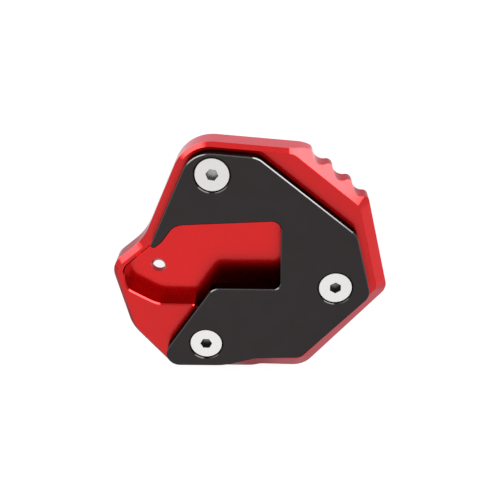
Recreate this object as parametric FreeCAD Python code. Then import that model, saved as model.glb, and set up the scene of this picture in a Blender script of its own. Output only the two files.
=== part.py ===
"""Kickstand foot enlarger: a billet base with a pocket for the stock foot, a C-shaped
clamp plate that goes round the leg, and three countersunk screws that hold the two together.

Millimetres. +Z is up, the flat underside lies on z = 0, and the slot for the leg opens
towards -X. The origin is the middle of the base's bounding box, on the ground face.
"""
import FreeCAD, Part
import math
import os

os.makedirs("parts", exist_ok=True)
Vector = FreeCAD.Vector
UP = Vector(0, 0, 1)

# Heights
BASE_HEIGHT = 10.5
POCKET_DEPTH = 7.4
PLATE_THICKNESS = 5.0

# Main plan sizes, each measured from the drawing centre, square to the edge that it names
REAR_REACH = 38.0
RIGHT_REACH = 45.6
FRONT_REACH = 56.6
LOBE_REACH = 53.1

# How far the lobe's slanting front and the pocket's end wall move out per length that its end does
LOBE_FRONT_SHARE = 0.77
LOBE_WALL_SHARE = 0.7

# Edge breaks
GROUND_EDGE_BREAK = 0.4
POCKET_LIP_CHAMFER = 0.5
PLATE_EDGE_CHAMFER = 0.35
RIM_RUN = 6.0                # how far down the sloping rim is carried, more than the deepest chamfer

# Base: one entry per side, clockwise from the rear edge. Each holds the direction that the side
# faces in degrees, its distance from the drawing centre, the width and drop of its chamfer, the
# radius of the wall's corner after it and the radius of the chamfer's inner line at that corner.
BASE_SIDES = [
    (85.1, REAR_REACH, 1.5, 1.5, 12.0, 5.0),             # rear edge
    (50.6, 41.1, 4.1, 4.6, 6.0, 3.0),                    # toothed edge
    (14.0, RIGHT_REACH, 3.7, 3.7, 6.0, 3.0),             # right edge
    (-40.7, FRONT_REACH - 4.1, 5.2, 5.0, 8.0, 4.5),      # front right edge
    (-90.9, FRONT_REACH - 0.9, 6.3, 5.0, 9.0, 12.0),    # front edge
    (-76.4, FRONT_REACH - 1.5, 6.7, 5.0, 9.0, 12.0),    # step in the front edge
    (-90.0, FRONT_REACH, 5.0, 5.0, 7.0, 5.0),            # front edge below the clamp
    (-140.5, LOBE_FRONT_SHARE * LOBE_REACH + 17.3, 1.0, 1.0, 14.0, 13.0),  # front of the lobe
    (-166.9, LOBE_REACH, 1.5, 1.5, 7.0, 5.5),            # end of the lobe
    (129.6, 26.2, 1.8, 1.8, 24.0, 14.0),                 # rear of the lobe
    (156.3, 36.7, 1.5, 1.5, 14.5, 12.0),                 # left edge
]

# Teeth: round scallops cut into the toothed edge
TOOTH_SIDE = 1
SCALLOP_COUNT = 3
SCALLOP_PITCH = 9.4
SCALLOP_FIRST = -1.6         # along the toothed edge, from the foot of the drawing centre's normal
SCALLOP_RADIUS = 4.0
SCALLOP_DEPTH = 2.1
CREST_RADIUS = 2.2

# Pocket for the stock foot: direction faced, distance and corner radius of each side
POCKET_SIDES = [
    (90.0, REAR_REACH - 21.0, 5.0),       # rear wall, below the clamp
    (0.0, RIGHT_REACH - 28.1, 5.0),       # right wall, below the clamp
    (-90.0, FRONT_REACH - 25.1, 5.0),     # front wall, below the clamp
    (-152.8, 30.7, 1.5),                  # step where the lobe's wall begins
    (-90.3, 25.7, 12.0),                  # front wall in the lobe
    (-119.8, LOBE_FRONT_SHARE * LOBE_REACH - 1.1, 5.0),  # slanting wall in the lobe
    (-176.5, LOBE_WALL_SHARE * LOBE_REACH + 11.1, 5.5),  # end wall
    (131.5, 23.9, 10.0),                  # rear wall in the lobe
    (156.3, 31.0, 5.0),                   # left wall, below the finger
]
DRAIN_HOLE_PLACE = (-35.4, -12.3)
DRAIN_HOLE_RADIUS = 2.9

# Clamp plate: direction faced, distance and corner radius of each side
PLATE_SIDES = [
    (85.1, REAR_REACH - 2.3, 6.5),        # rear edge
    (50.7, 29.35, 6.0),                   # edge along the teeth
    (14.4, RIGHT_REACH - 6.8, 5.5),       # right edge
    (-42.4, FRONT_REACH - 11.25, 4.0),    # front right edge
    (-88.2, FRONT_REACH - 9.85, 15.0),    # front edge
    (-74.0, FRONT_REACH - 11.2, 20.0),    # step in the front edge
    (-89.6, FRONT_REACH - 6.5, 5.0),     # front edge at the lobe
    (160.2, 15.65, 8.0),                  # short edge across the lobe
    (145.9, 2.7, 4.2),                    # long edge across the lobe
    (90.0, -15.8, 2.5),                   # front of the slot
    (180.0, -11.15, 3.4),                 # end of the slot
    (-87.0, -11.25, 6.5),                 # rear of the slot
    (-35.5, -27.75, 8.0),                 # inside of the finger
    (-52.2, -21.9, 1.0),                  # hook at the finger's tip
    (155.9, 33.7, 10.5),                  # outside of the finger
]

# Countersunk socket screws, M6
SCREW_PLACES = [
    (-13.05, REAR_REACH - 8.9),
    (RIGHT_REACH - 14.05, -15.1),
    (-17.05, 16.35 - FRONT_REACH),
]
SOCKET_TURNS = [-10.0, 30.0, 0.0]
SCREW_LENGTH = 10.0
SCREW_RADIUS = 3.0
HEAD_RADIUS = 6.0
SCREW_END_BREAK = 0.5
HEAD_LAND = 0.2
HEAD_SUNK = 0.6
HEAD_RECESS_RADIUS = 6.45
HEAD_RECESS_DEPTH = 0.85
RECESS_CHAMFER = 0.3
SOCKET_ACROSS_FLATS = 4.0
SOCKET_DEPTH = 2.4
THREAD_CLEARANCE = 0.05
PLATE_HOLE_RADIUS = 3.3
TAPPED_DEPTH = 8.0           # from the base's top, blind
COINCIDENT = 0.01            # lengths closer than this are taken as equal


def side_line(side):
    """Unit normal and distance of a side."""
    angle = math.radians(side[0])
    return math.cos(angle), math.sin(angle), side[1]


def corner_point(first, second):
    """Plan point where two sides' lines cross."""
    ax, ay, ad = first
    bx, by, bd = second
    det = ax * by - ay * bx
    return (ad * by - ay * bd) / det, (ax * bd - ad * bx) / det


def rounded_wire(sides, radii, offsets, z):
    """Closed wire of straight sides, each moved outwards by its offset, joined by tangent arcs."""
    count = len(sides)
    lines = []
    for side, offset in zip(sides, offsets):
        nx, ny, distance = side_line(side)
        lines.append((nx, ny, distance + offset))
    corners = [corner_point(lines[i], lines[(i + 1) % count]) for i in range(count)]
    arcs = []
    for i in range(count):
        px, py = corners[i - 1]
        cx, cy = corners[i]
        nx, ny = corners[(i + 1) % count]
        turn = (cx - px) * (ny - cy) - (cy - py) * (nx - cx)
        grown = (offsets[i] + offsets[(i + 1) % count]) / 2
        radius = radii[i] + grown if turn < 0 else radii[i] - grown
        in_length = math.hypot(cx - px, cy - py)
        out_length = math.hypot(nx - cx, ny - cy)
        ux, uy = (px - cx) / in_length, (py - cy) / in_length
        vx, vy = (nx - cx) / out_length, (ny - cy) / out_length
        half = math.acos(max(-1.0, min(1.0, ux * vx + uy * vy))) / 2
        tangent = radius / math.tan(half)
        bx, by = ux + vx, uy + vy
        bisector = math.hypot(bx, by)
        reach = radius / math.sin(half) - radius
        arcs.append((
            Vector(cx + ux * tangent, cy + uy * tangent, z),
            Vector(cx + bx / bisector * reach, cy + by / bisector * reach, z),
            Vector(cx + vx * tangent, cy + vy * tangent, z),
        ))
    edges = []
    for i in range(count):
        start, middle, end = arcs[i]
        edges.append(Part.makeLine(arcs[i - 1][2], start))
        edges.append(Part.Arc(start, middle, end).toShape())
    return Part.Wire(edges)


def prism(wire, height):
    """Solid from a closed flat wire, upwards by a height."""
    return Part.Face(wire).extrude(Vector(0, 0, height))


def tapered(sides, radii, bottom, top, bottom_offsets, top_offsets):
    """Solid between two offsets of one outline at two heights."""
    lower = rounded_wire(sides, radii, bottom_offsets, bottom)
    upper = rounded_wire(sides, radii, top_offsets, top)
    return Part.makeLoft([lower, upper], True, True)


def even(sides, offset=0.0):
    """The same offset for every side."""
    return [offset] * len(sides)


def at(place, z):
    """Plan place as a point at height z."""
    return Vector(place[0], place[1], z)


def scallop_centres():
    """Plan centres of the scallops, set out along the toothed edge."""
    nx, ny, distance = side_line(BASE_SIDES[TOOTH_SIDE])
    out = distance - SCALLOP_DEPTH + SCALLOP_RADIUS
    places = []
    for i in range(SCALLOP_COUNT):
        along = SCALLOP_FIRST + i * SCALLOP_PITCH
        places.append((nx * out + ny * along, ny * out - nx * along))
    return places


def round_crests(body):
    """Round the upright edges that the scallops leave on the crests, where they leave any."""
    crests = []
    for edge in body.Edges:
        if len(edge.Vertexes) < 2:
            continue
        first, last = edge.Vertexes[0].Point, edge.Vertexes[1].Point
        if abs(first.z - last.z) < BASE_HEIGHT / 2:
            continue
        for x, y in scallop_centres():
            if abs(math.hypot(first.x - x, first.y - y) - SCALLOP_RADIUS) < COINCIDENT:
                crests.append(edge)
    return body.makeFillet(CREST_RADIUS, crests) if crests else body


def base_blank():
    """Base before the pocket: upright toothed walls and a sloping rim of varying width."""
    wall_radii = [side[4] for side in BASE_SIDES]
    ridge_radii = [side[5] for side in BASE_SIDES]
    flush = even(BASE_SIDES)
    body = prism(rounded_wire(BASE_SIDES, wall_radii, flush, 0.0), BASE_HEIGHT)
    cutters = [Part.makeCylinder(SCALLOP_RADIUS, BASE_HEIGHT, at(place, 0))
               for place in scallop_centres()]
    body = round_crests(body.cut(cutters))
    ridges = [(side[0], side[1] - side[2]) for side in BASE_SIDES]
    spread = [RIM_RUN * side[2] / side[3] for side in BASE_SIDES]
    rim_foot = BASE_HEIGHT - RIM_RUN
    rim = tapered(ridges, ridge_radii, rim_foot, BASE_HEIGHT, spread, flush)
    column = prism(rounded_wire(BASE_SIDES, wall_radii, even(BASE_SIDES, RIM_RUN), 0.0), rim_foot)
    body = body.common(rim.fuse(column))
    ground_edges = [edge for edge in body.Edges if edge.BoundBox.ZMax < COINCIDENT]
    return body.makeChamfer(GROUND_EDGE_BREAK, ground_edges)


def base_plate():
    """Red base: blank, pocket with a broken lip, drain hole and tapped holes."""
    body = base_blank()
    floor = BASE_HEIGHT - POCKET_DEPTH
    radii = [side[2] for side in POCKET_SIDES]
    flush = even(POCKET_SIDES)
    pocket = rounded_wire(POCKET_SIDES, radii, flush, floor)
    lip = tapered(POCKET_SIDES, radii, BASE_HEIGHT - POCKET_LIP_CHAMFER, BASE_HEIGHT,
                  flush, even(POCKET_SIDES, POCKET_LIP_CHAMFER))
    body = body.cut([prism(pocket, POCKET_DEPTH), lip])
    cutters = [Part.makeCylinder(DRAIN_HOLE_RADIUS, floor, at(DRAIN_HOLE_PLACE, 0))]
    for place in SCREW_PLACES:
        bottom = at(place, BASE_HEIGHT - TAPPED_DEPTH)
        cutters.append(Part.makeCylinder(SCREW_RADIUS + THREAD_CLEARANCE, TAPPED_DEPTH, bottom))
    return body.cut(cutters)


def clamp_plate():
    """Black clamp plate: C-shaped, broken top edge, three countersunk holes."""
    radii = [side[2] for side in PLATE_SIDES]
    top = BASE_HEIGHT + PLATE_THICKNESS
    edge_foot = top - PLATE_EDGE_CHAMFER
    flush = even(PLATE_SIDES)
    lower = rounded_wire(PLATE_SIDES, radii, flush, BASE_HEIGHT)
    body = prism(lower, PLATE_THICKNESS - PLATE_EDGE_CHAMFER)
    edge = tapered(PLATE_SIDES, radii, edge_foot, top, flush,
                   even(PLATE_SIDES, -PLATE_EDGE_CHAMFER))
    body = body.fuse(edge).removeSplitter()
    seat_top = top - HEAD_SUNK - HEAD_LAND
    seat_depth = HEAD_RADIUS - PLATE_HOLE_RADIUS
    mouth = HEAD_RECESS_RADIUS + RECESS_CHAMFER
    for place in SCREW_PLACES:
        body = body.cut([
            Part.makeCylinder(PLATE_HOLE_RADIUS, PLATE_THICKNESS, at(place, BASE_HEIGHT)),
            Part.makeCone(PLATE_HOLE_RADIUS, HEAD_RADIUS, seat_depth, at(place, seat_top - seat_depth)),
            Part.makeCylinder(HEAD_RECESS_RADIUS, HEAD_RECESS_DEPTH, at(place, top - HEAD_RECESS_DEPTH)),
            Part.makeCone(HEAD_RECESS_RADIUS, mouth, RECESS_CHAMFER, at(place, top - RECESS_CHAMFER)),
        ])
    return body


def screw(place, turn):
    """One countersunk screw with its hexagon socket, seated in the plate."""
    top = BASE_HEIGHT + PLATE_THICKNESS - HEAD_SUNK
    cone_height = HEAD_RADIUS - SCREW_RADIUS
    profile = [
        Vector(0, 0, top - SCREW_LENGTH),
        Vector(SCREW_RADIUS - SCREW_END_BREAK, 0, top - SCREW_LENGTH),
        Vector(SCREW_RADIUS, 0, top - SCREW_LENGTH + SCREW_END_BREAK),
        Vector(SCREW_RADIUS, 0, top - HEAD_LAND - cone_height),
        Vector(HEAD_RADIUS, 0, top - HEAD_LAND),
        Vector(HEAD_RADIUS, 0, top),
        Vector(0, 0, top),
    ]
    outline = Part.makePolygon(profile + profile[:1])
    body = Part.Face(outline).revolve(Vector(0, 0, 0), UP, 360)
    corner = SOCKET_ACROSS_FLATS / 2 / math.cos(math.pi / 6)
    points = []
    for i in range(7):
        angle = math.radians(turn + 60 * i)
        points.append(Vector(corner * math.cos(angle), corner * math.sin(angle), top - SOCKET_DEPTH))
    body = body.cut(prism(Part.makePolygon(points), SOCKET_DEPTH))
    body.translate(at(place, 0))
    return body


def clamp_screws():
    """The three alike screws."""
    return Part.makeCompound([screw(*pair) for pair in zip(SCREW_PLACES, SOCKET_TURNS)])


def main():
    """Build every piece about the middle of the base and write it out."""
    base = base_plate()
    box = base.optimalBoundingBox(False, False)
    middle = Vector(-(box.XMin + box.XMax) / 2, -(box.YMin + box.YMax) / 2, 0)
    pieces = {"base_plate": base, "clamp_plate": clamp_plate(), "clamp_screws": clamp_screws()}
    for name, shape in pieces.items():
        shape.translate(middle)
        shape.exportStep("parts/" + name + ".step")
        print(name, len(shape.Solids), round(shape.Volume, 1), shape.isValid(),
              shape.optimalBoundingBox(False, False))
    print("middle", middle)


main()
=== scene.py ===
"""Looks of the kickstand foot enlarger: red anodised base, black clamp plate, bright screws."""

import math

import bpy
from mathutils import Matrix, Vector


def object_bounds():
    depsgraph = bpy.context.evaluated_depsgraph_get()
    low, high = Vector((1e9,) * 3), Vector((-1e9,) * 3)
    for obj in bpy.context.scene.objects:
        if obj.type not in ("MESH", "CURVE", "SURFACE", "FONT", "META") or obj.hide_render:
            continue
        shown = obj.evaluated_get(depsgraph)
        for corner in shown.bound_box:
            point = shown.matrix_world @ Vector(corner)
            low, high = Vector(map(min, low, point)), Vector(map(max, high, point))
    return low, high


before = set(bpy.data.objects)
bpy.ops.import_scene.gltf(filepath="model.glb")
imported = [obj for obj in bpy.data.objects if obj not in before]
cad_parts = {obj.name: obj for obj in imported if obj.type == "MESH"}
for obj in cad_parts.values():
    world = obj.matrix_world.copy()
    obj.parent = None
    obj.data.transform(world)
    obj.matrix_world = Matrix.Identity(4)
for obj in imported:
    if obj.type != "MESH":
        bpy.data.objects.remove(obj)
cad_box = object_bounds()

# Heights over the ground and places on the part, in metres
PLATE_THICKNESS = 0.005
HEAD_SUNK = 0.0006
PLATE_TOP = cad_box[1][2]
BASE_TOP = PLATE_TOP - PLATE_THICKNESS
HEAD_TOP = PLATE_TOP - HEAD_SUNK
SCREW_AXES = [(-0.0130, 0.0378, 0.0), (0.0316, -0.0064, 0.0), (-0.0170, -0.0316, 0.0)]
LEAST_SHADED_SCREW = (*SCREW_AXES[0][:2], HEAD_TOP)   # the screw whose socket has the least painted shade
TEETH_WAY = (0.6, 0.8, 0.0)   # direction in plan from the middle to the toothed edge

# Camera fitted to the photograph: place in metres, angles in degrees
CAMERA_PLACE = (0.007729, 0.133377, 0.263498)
CAMERA_TILT = 26.57552
CAMERA_PAN = 1.84436
DRAWING_TURN = 0.6   # turn of the part in its frame against the fitted drawing
FOCAL_PIXELS = 768.53
FRAME_PIXELS = 500
SENSOR_MM = 36.0
CLIP_START = 0.01

# Values that several materials share
NOISE_RANGE = (0.3, 0.7)   # where nearly all of a noise lies
GRAIN_HEIGHT = 0.00002
WHITE = (1.0, 1.0, 1.0, 1.0)


class Tree:
    """Short calls for making a node tree."""

    def __init__(self, tree):
        self.tree = tree
        tree.nodes.clear()

    def node(self, kind, inputs=(), **settings):
        """New node with settings, and inputs as values or other nodes' outputs."""
        made = self.tree.nodes.new(kind)
        for name, value in settings.items():
            setattr(made, name, value)
        for socket, value in dict(inputs).items():
            if isinstance(value, bpy.types.NodeSocket):
                self.tree.links.new(value, made.inputs[socket])
            else:
                made.inputs[socket].default_value = value
        return made

    def join(self, value, node, name):
        """Link an output to a named input of a node."""
        self.tree.links.new(value, node.inputs[name])

    def math(self, operation, first, second=0.0, third=0.0):
        """Result of one arithmetic step."""
        return self.node("ShaderNodeMath", {0: first, 1: second, 2: third},
                         operation=operation).outputs[0]

    def dot(self, first, second):
        """Dot product of two vectors."""
        return self.node("ShaderNodeVectorMath", {0: first, 1: second},
                         operation="DOT_PRODUCT").outputs["Value"]

    def distance(self, first, second):
        """Distance between two places."""
        return self.node("ShaderNodeVectorMath", {0: first, 1: second},
                         operation="DISTANCE").outputs["Value"]

    def parts(self, vector):
        """X, Y and Z of a vector."""
        return self.node("ShaderNodeSeparateXYZ", {0: vector}).outputs

    def ramp(self, value, low, high, start=0.0, end=1.0):
        """Smooth step of a value between two limits."""
        return self.node("ShaderNodeMapRange",
                         {"Value": value, "From Min": low, "From Max": high,
                          "To Min": start, "To Max": end},
                         interpolation_type="SMOOTHSTEP").outputs[0]

    def noise(self, place, scale, detail):
        """Smooth noise around one half."""
        return self.node("ShaderNodeTexNoise", {"Vector": place, "Scale": scale,
                                                "Detail": detail}).outputs[0]

    def spread(self, noise, start=0.0, end=1.0):
        """Noise stretched from its usual range to the whole range between two values."""
        return self.ramp(noise, *NOISE_RANGE, start, end)

    def colour(self, share, first, second):
        """Colour between two colours."""
        return self.node("ShaderNodeMix", {0: share, 6: first, 7: second},
                         data_type="RGBA").outputs[2]

    def number(self, share, first, second):
        """Number between two numbers."""
        return self.node("ShaderNodeMix", {0: share, 2: first, 3: second},
                         data_type="FLOAT").outputs[0]


def opaque(colour, share=1.0):
    """Colour with full opacity, its brightness scaled by a share."""
    return (*(channel * share for channel in colour), 1.0)


def new_material(name):
    """Material with an empty tree and a Principled shader on its output."""
    made = bpy.data.materials.new(name)
    made.use_nodes = True
    tree = Tree(made.node_tree)
    shader = tree.node("ShaderNodeBsdfPrincipled")
    tree.node("ShaderNodeOutputMaterial", {"Surface": shader.outputs[0]})
    return made, tree, shader


def surface(tree):
    """Place on the part, height over the ground, and rise, which is 1 on faces that look up."""
    coordinates = tree.node("ShaderNodeTexCoord").outputs
    place = coordinates["Object"]
    return place, tree.parts(place)["Z"], tree.parts(coordinates["Normal"])["Z"]


def add_grain(tree, shader, grain, roughness, extra, strength):
    """Let a fine grain roughen a surface by up to an extra amount and raise it a little."""
    tree.join(tree.math("ADD", roughness, tree.spread(grain, 0.0, extra)), shader, "Roughness")
    bump = tree.node("ShaderNodeBump", {"Strength": strength, "Distance": GRAIN_HEIGHT,
                                        "Height": grain})
    tree.join(bump.outputs[0], shader, "Normal")


# Red metal: colours, roughness, rise from which a face is level, and the heights between which the
# pocket ends and the top begins
RED = (0.62, 0.0035, 0.0045)
RED_CLOUDED = (RED[0] * 0.97, RED[1], RED[2])
RED_GLOSS = (1.0, 0.72, 0.82)
RED_SLOPES = 0.09
RED_POCKET = 0.27
RED_TOP = 0.37
RED_LEVEL_RISE = (0.85, 0.95)
POCKET_MOUTH = (BASE_TOP - 0.0007, BASE_TOP - 0.0001)


def red_anodised():
    """Glossy red anodised aluminium with the faint grain of the milled metal."""
    made, tree, shader = new_material("red_anodised")
    place, height, rise = surface(tree)
    cloud = tree.spread(tree.noise(place, scale=90.0, detail=4.0))
    grain = tree.noise(place, scale=2600.0, detail=2.0)
    tree.join(tree.colour(cloud, opaque(RED_CLOUDED), opaque(RED)), shader, "Base Color")
    level = tree.ramp(height, *POCKET_MOUTH, RED_POCKET, RED_TOP)
    milled = tree.number(tree.ramp(rise, *RED_LEVEL_RISE), RED_SLOPES, level)
    add_grain(tree, shader, grain, milled, extra=0.03, strength=0.012)
    shader.inputs["Metallic"].default_value = 1.0
    shader.inputs["Specular Tint"].default_value = opaque(RED_GLOSS)
    shader.inputs["Coat Weight"].default_value = 0.5
    shader.inputs["Coat Roughness"].default_value = 0.10
    return made


# Black metal: colours of the faces, of the painted sheen on the rear and toothed side's walls, of the
# broken edges and of the painted shade in the gaps round the screw heads, and roughness
BLACK = (0.0325, 0.0285, 0.0292)
# painted sheen: paler colour of the walls on the rear and toothed side
BLACK_WALL_SHEEN = (0.085, 0.074, 0.074)
BLACK_EDGE = (0.080, 0.076, 0.077)
# painted shade: near-black colour of the gaps round the screw heads
BLACK_RECESS_SHADE = (0.006, 0.0055, 0.0055)
BLACK_GLOSS = (0.3, 0.3, 0.3)
BLACK_SLOPES = 0.12
BLACK_TOP = 0.24

# Black metal: rise up to which a face is a wall and from which it is level, distance along
# TEETH_WAY from which walls get the painted sheen, distance from a screw's axis over which the
# painted shade of the gap ends, and heights between which it ends
WALL_RISE = (0.3, 0.4)
LEVEL_RISE = (0.8, 0.9)
SHEEN_WALLS = (0.015, 0.022)
RECESS_EDGE = (0.0070, 0.0074)
RECESS_TOP = (PLATE_TOP - 0.0004, PLATE_TOP - 0.00025)


def black_anodised():
    """Satin black anodised plate, fine bead-blasted grain, with painted sheen on the rear and toothed
    side's walls and painted shade in the gaps round the screw heads.
    """
    made, tree, shader = new_material("black_anodised")
    place, height, rise = surface(tree)
    cloud = tree.spread(tree.noise(place, scale=120.0, detail=3.0))
    grain = tree.noise(place, scale=4200.0, detail=2.0)
    face = tree.colour(cloud, opaque(BLACK), opaque(BLACK, 1.06))

    # Painted sheen: walls on the rear and toothed side are painted paler, standing in for the light
    # they reflect
    wall_sheen = tree.math("MULTIPLY", tree.ramp(rise, *WALL_RISE, 1.0, 0.0),
                     tree.ramp(tree.dot(place, TEETH_WAY), *SHEEN_WALLS))
    face = tree.colour(wall_sheen, face, opaque(BLACK_WALL_SHEEN))

    in_plan = tree.node("ShaderNodeVectorMath", {0: place, 1: (1.0, 1.0, 0.0)},
                        operation="MULTIPLY").outputs[0]
    outside = 1.0
    for axis in SCREW_AXES:
        outside = tree.math("MULTIPLY", outside,
                            tree.ramp(tree.distance(in_plan, axis), *RECESS_EDGE))
    edge = tree.math("MULTIPLY", tree.ramp(rise, *WALL_RISE),
                     tree.ramp(rise, *LEVEL_RISE, 1.0, 0.0))
    face = tree.colour(tree.math("MULTIPLY", edge, outside), face, opaque(BLACK_EDGE))

    # Painted shade: the plate is painted near black in the recesses round the screw heads, below
    # their tops
    unshaded = tree.math("MAXIMUM", outside, tree.ramp(height, *RECESS_TOP))
    face = tree.colour(unshaded, opaque(BLACK_RECESS_SHADE), face)
    tree.join(face, shader, "Base Color")

    milled = tree.ramp(rise, *LEVEL_RISE, BLACK_SLOPES, BLACK_TOP)
    add_grain(tree, shader, grain, milled, extra=0.05, strength=0.05)
    shader.inputs["Metallic"].default_value = 1.0
    shader.inputs["Specular Tint"].default_value = opaque(BLACK_GLOSS)
    return made


# Steel: colours, roughness, heights at which the painted shade in a socket begins and is full,
# distance from the screw with the least painted shade over which the shade changes, and the
# painted shade near it and far from it, in the sockets and on the heads
# STEEL_SHADE_COLOUR is the colour of the painted shade in the sockets and on the first head
STEEL = (0.78, 0.77, 0.755)
STEEL_SHADE_COLOUR = (0.055, 0.05, 0.047)
STEEL_ROUGHNESS = (0.24, 0.34)
SOCKET_MOUTH = (HEAD_TOP - 0.0002, HEAD_TOP - 0.0008)
STEEL_SHADE_REACH = (0.006, 0.012)
SOCKET_SHADE = (0.62, 0.90)
HEAD_SHADE = (0.11, 0.0)


def bright_steel():
    """Bright stainless screws, with painted shade in the sockets, lightest in the first screw's, and
    a little painted shade on the first screw's head.
    """
    made, tree, shader = new_material("bright_steel")
    place, height, _ = surface(tree)
    grain = tree.noise(place, scale=1500.0, detail=3.0)
    bare = tree.colour(tree.spread(grain), opaque(STEEL, 0.95), opaque(STEEL))
    # Painted shade: sockets are painted dark, less so in the first screw's, and the first screw's
    # head a little darker
    away = tree.distance(place, LEAST_SHADED_SCREW)
    socket_shade = tree.math("MULTIPLY", tree.ramp(height, *SOCKET_MOUTH),
                          tree.ramp(away, *STEEL_SHADE_REACH, *SOCKET_SHADE))
    painted_shade = tree.math("MAXIMUM", socket_shade, tree.ramp(away, *STEEL_SHADE_REACH, *HEAD_SHADE))
    tree.join(tree.colour(painted_shade, bare, opaque(STEEL_SHADE_COLOUR)), shader, "Base Color")
    tree.join(tree.spread(grain, *STEEL_ROUGHNESS), shader, "Roughness")
    shader.inputs["Metallic"].default_value = 1.0
    return made


# Ground under the base, seen through the drain hole: the spot that the light reaches, the radii
# over which it ends, those over which the shade ends, and the x at which dark turns to red
LIT_SPOT = (-0.0358, -0.0056, 0.0)
SPOT_END = (0.00215, 0.00255)
SHADE_END = (0.005, 0.006)
SHADE_TURN = (-0.0381, -0.0375)
SHADE_DARK = (0.05, 0.003, 0.003)
SHADE_RED = (0.40, 0.03, 0.032)

# Greys of the floor and its glow for the camera
FLOOR_GREYS = (0.19, 0.21)
CAMERA_GLOW = 0.86

# Glow of the floor for the object's gloss, near the object and far from it, each as a direction in
# plan, where along it the glow starts and stops rising, and the glow at both places
NEAR_GLOW = (TEETH_WAY, -0.070, 0.040, 0.20, 0.68)
FAR_GLOW = ((0.88, 0.45, 0.0), -0.12, 0.02, 0.50, 0.85)
NEAR_END = (0.06, 0.16)   # distance over which the near glow gives way to the far one

# Stretches of floor that are dimmer in the gloss: where the dimming starts and is full along x
# and along y, and the share of the glow that is left
NEAR_STRETCHES = [
    ((0.020, 0.030), (0.01, 0.03), 0.58),    # beside the teeth
    ((0.032, 0.052), (0.02, 0.0), 0.80),     # right
    ((-0.022, -0.030), (0.0, 0.015), 0.80),  # left
]
FRONT_STRETCH = ((0.014, 0.002), (-0.035, -0.045), 0.50)


def dimming(tree, place, stretch):
    """Share of the glow that is left on a stretch of floor, and 1 elsewhere."""
    across_limits, along_limits, left = stretch
    across, along = tree.parts(place)[:2]
    inside = tree.math("MULTIPLY", tree.ramp(across, *across_limits),
                       tree.ramp(along, *along_limits))
    return tree.ramp(inside, 0.0, 1.0, 1.0, left)


def ground_colour(tree, place):
    """White glow, but for the shade of the base round the spot under the drain hole."""
    from_spot = tree.distance(place, LIT_SPOT)
    bare = tree.math("MAXIMUM", tree.ramp(from_spot, *SPOT_END, 1.0, 0.0),
                     tree.ramp(from_spot, *SHADE_END))
    shade = tree.colour(tree.ramp(tree.parts(place)["X"], *SHADE_TURN),
                        opaque(SHADE_DARK), opaque(SHADE_RED))
    return tree.colour(bare, shade, WHITE)


def mirrored_glow(tree, place):
    """Glow of the floor as the object's gloss meets it."""
    near, far = (tree.ramp(tree.dot(place, way), *limits)
                 for way, *limits in (NEAR_GLOW, FAR_GLOW))
    for stretch in NEAR_STRETCHES:
        near = tree.math("MULTIPLY", near, dimming(tree, place, stretch))
    away = tree.node("ShaderNodeVectorMath", {0: place}, operation="LENGTH").outputs["Value"]
    total = tree.number(tree.ramp(away, *NEAR_END), near, far)
    return tree.math("MULTIPLY", total, dimming(tree, place, FRONT_STRETCH))


def white_floor():
    """Pale floor that glows as a lit table does, dimmer in the object's gloss than for the camera."""
    made, tree, shader = new_material("pale_floor")
    place = tree.node("ShaderNodeTexCoord").outputs["Object"]
    cloud = tree.noise(place, scale=3.0, detail=2.0)
    darker, paler = (opaque((grey, grey, grey)) for grey in FLOOR_GREYS)
    tree.join(tree.colour(cloud, darker, paler), shader, "Base Color")
    shader.inputs["Roughness"].default_value = 1.0
    shader.inputs["Specular IOR Level"].default_value = 0.0
    tree.join(ground_colour(tree, place), shader, "Emission Color")
    camera_ray = tree.node("ShaderNodeLightPath").outputs["Is Camera Ray"]
    glow = tree.number(camera_ray, mirrored_glow(tree, place), CAMERA_GLOW)
    tree.join(glow, shader, "Emission Strength")
    return made


# Softboxes: azimuth and elevation of the middle, half width and half height in degrees,
# edge softness and brightness
SOFTBOXES = [
    (54.0, 16.0, 23.0, 24.0, 0.03, 10.0),    # right rear
    (134.0, 17.0, 24.0, 12.0, 0.30, 6.2),    # left rear
    (95.0, 18.0, 12.0, 16.0, 0.20, 0.25),    # rear, between the two
    (254.0, 62.0, 26.0, 24.0, 0.60, 0.78),   # high front, seen in the level faces
]

# How far ahead a ray has to point towards a softbox before it meets it, as a cosine
AHEAD_START = (0.0, 0.05)
SMALLEST_AHEAD = 0.001

# Surround: rise up to which a ray meets the edge's brightness and from which it meets the top's,
# both, and the brightness of the backdrop
SKY_RISE = (0.15, 0.65)
SKY_EDGE = 0.95
SKY_TOP = 0.40
BACKDROP = 1.0


def softbox(tree, ray, azimuth, elevation, wide, high, soft):
    """Share of a ray's light that comes from one softbox, 1 inside it and 0 outside."""
    turn, lift = math.radians(azimuth), math.radians(elevation)
    ahead = Vector((math.cos(turn) * math.cos(lift), math.sin(turn) * math.cos(lift),
                    math.sin(lift)))
    side = Vector((-math.sin(turn), math.cos(turn), 0))
    over = ahead.cross(side)
    depth = tree.dot(ray, ahead)
    safe_depth = tree.math("MAXIMUM", depth, SMALLEST_AHEAD)
    share = tree.ramp(depth, *AHEAD_START)
    for axis, half in ((side, wide), (over, high)):
        reach = math.tan(math.radians(half))
        slope = tree.math("ABSOLUTE", tree.math("DIVIDE", tree.dot(ray, axis), safe_depth))
        share = tree.math("MULTIPLY", share,
                          tree.ramp(slope, reach - soft / 2, reach + soft / 2, 1.0, 0.0))
    return share


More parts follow.
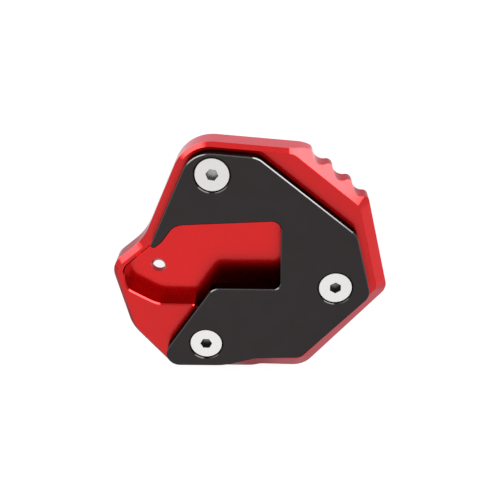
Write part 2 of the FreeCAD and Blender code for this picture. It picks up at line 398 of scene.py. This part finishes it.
def studio():
    """Soft pale surround with softboxes, and a plain white backdrop for the camera."""
    world = bpy.data.worlds.new("studio")
    bpy.context.scene.world = world
    world.use_nodes = True
    tree = Tree(world.node_tree)
    ray = tree.node("ShaderNodeTexCoord").outputs["Generated"]
    total = tree.ramp(tree.parts(ray)["Z"], *SKY_RISE, SKY_EDGE, SKY_TOP)
    for *shape, brightness in SOFTBOXES:
        total = tree.math("MULTIPLY_ADD", softbox(tree, ray, *shape), brightness, total)
    camera_ray = tree.node("ShaderNodeLightPath").outputs["Is Camera Ray"]
    strength = tree.number(camera_ray, total, BACKDROP)
    glow = tree.node("ShaderNodeBackground", {"Color": WHITE, "Strength": strength})
    tree.node("ShaderNodeOutputWorld", {"Surface": glow.outputs[0]})


# Floor: half its width, and how far it lies below the ground face, both in metres
FLOOR_REACH = 3.0
FLOOR_DROP = 0.0002


def floor_plane():
    """Large plane just below the ground face."""
    corners = [(across * FLOOR_REACH, along * FLOOR_REACH, 0)
               for across, along in ((-1, -1), (1, -1), (1, 1), (-1, 1))]
    mesh = bpy.data.meshes.new("floor")
    mesh.from_pydata(corners, [], [(0, 1, 2, 3)])
    plane = bpy.data.objects.new("floor", mesh)
    plane.location.z = -FLOOR_DROP
    bpy.context.scene.collection.objects.link(plane)
    mesh.materials.append(white_floor())


def photo_camera():
    """Camera at the photograph's place, looking down from behind the toothed edge."""
    tilt, pan = math.radians(CAMERA_TILT), math.radians(CAMERA_PAN)
    spin = Matrix.Rotation(pan, 3, "Y") @ Matrix.Rotation(tilt, 3, "X")
    flip = Matrix.Diagonal((1, -1, -1))
    right, down, ahead = (flip @ Vector(row) for row in spin)
    turn = Matrix.Rotation(math.radians(DRAWING_TURN), 3, "Z")
    right, up, back = turn @ right, turn @ -down, turn @ -ahead
    data = bpy.data.cameras.new("camera")
    data.sensor_width = SENSOR_MM
    data.lens = FOCAL_PIXELS / FRAME_PIXELS * SENSOR_MM
    data.clip_start = CLIP_START
    made = bpy.data.objects.new("camera", data)
    pose = Matrix((right, up, back)).transposed().to_4x4()
    pose.translation = Vector(CAMERA_PLACE)
    made.matrix_world = pose
    bpy.context.scene.collection.objects.link(made)
    bpy.context.scene.camera = made


def dress(node, material):
    """Give a CAD node its material."""
    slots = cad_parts[node].data.materials
    slots.clear()
    slots.append(material)


dress("base_plate", red_anodised())
dress("clamp_plate", black_anodised())
dress("clamp_screws", bright_steel())
floor_plane()
studio()
photo_camera()
bpy.context.scene.view_settings.view_transform = "Standard"
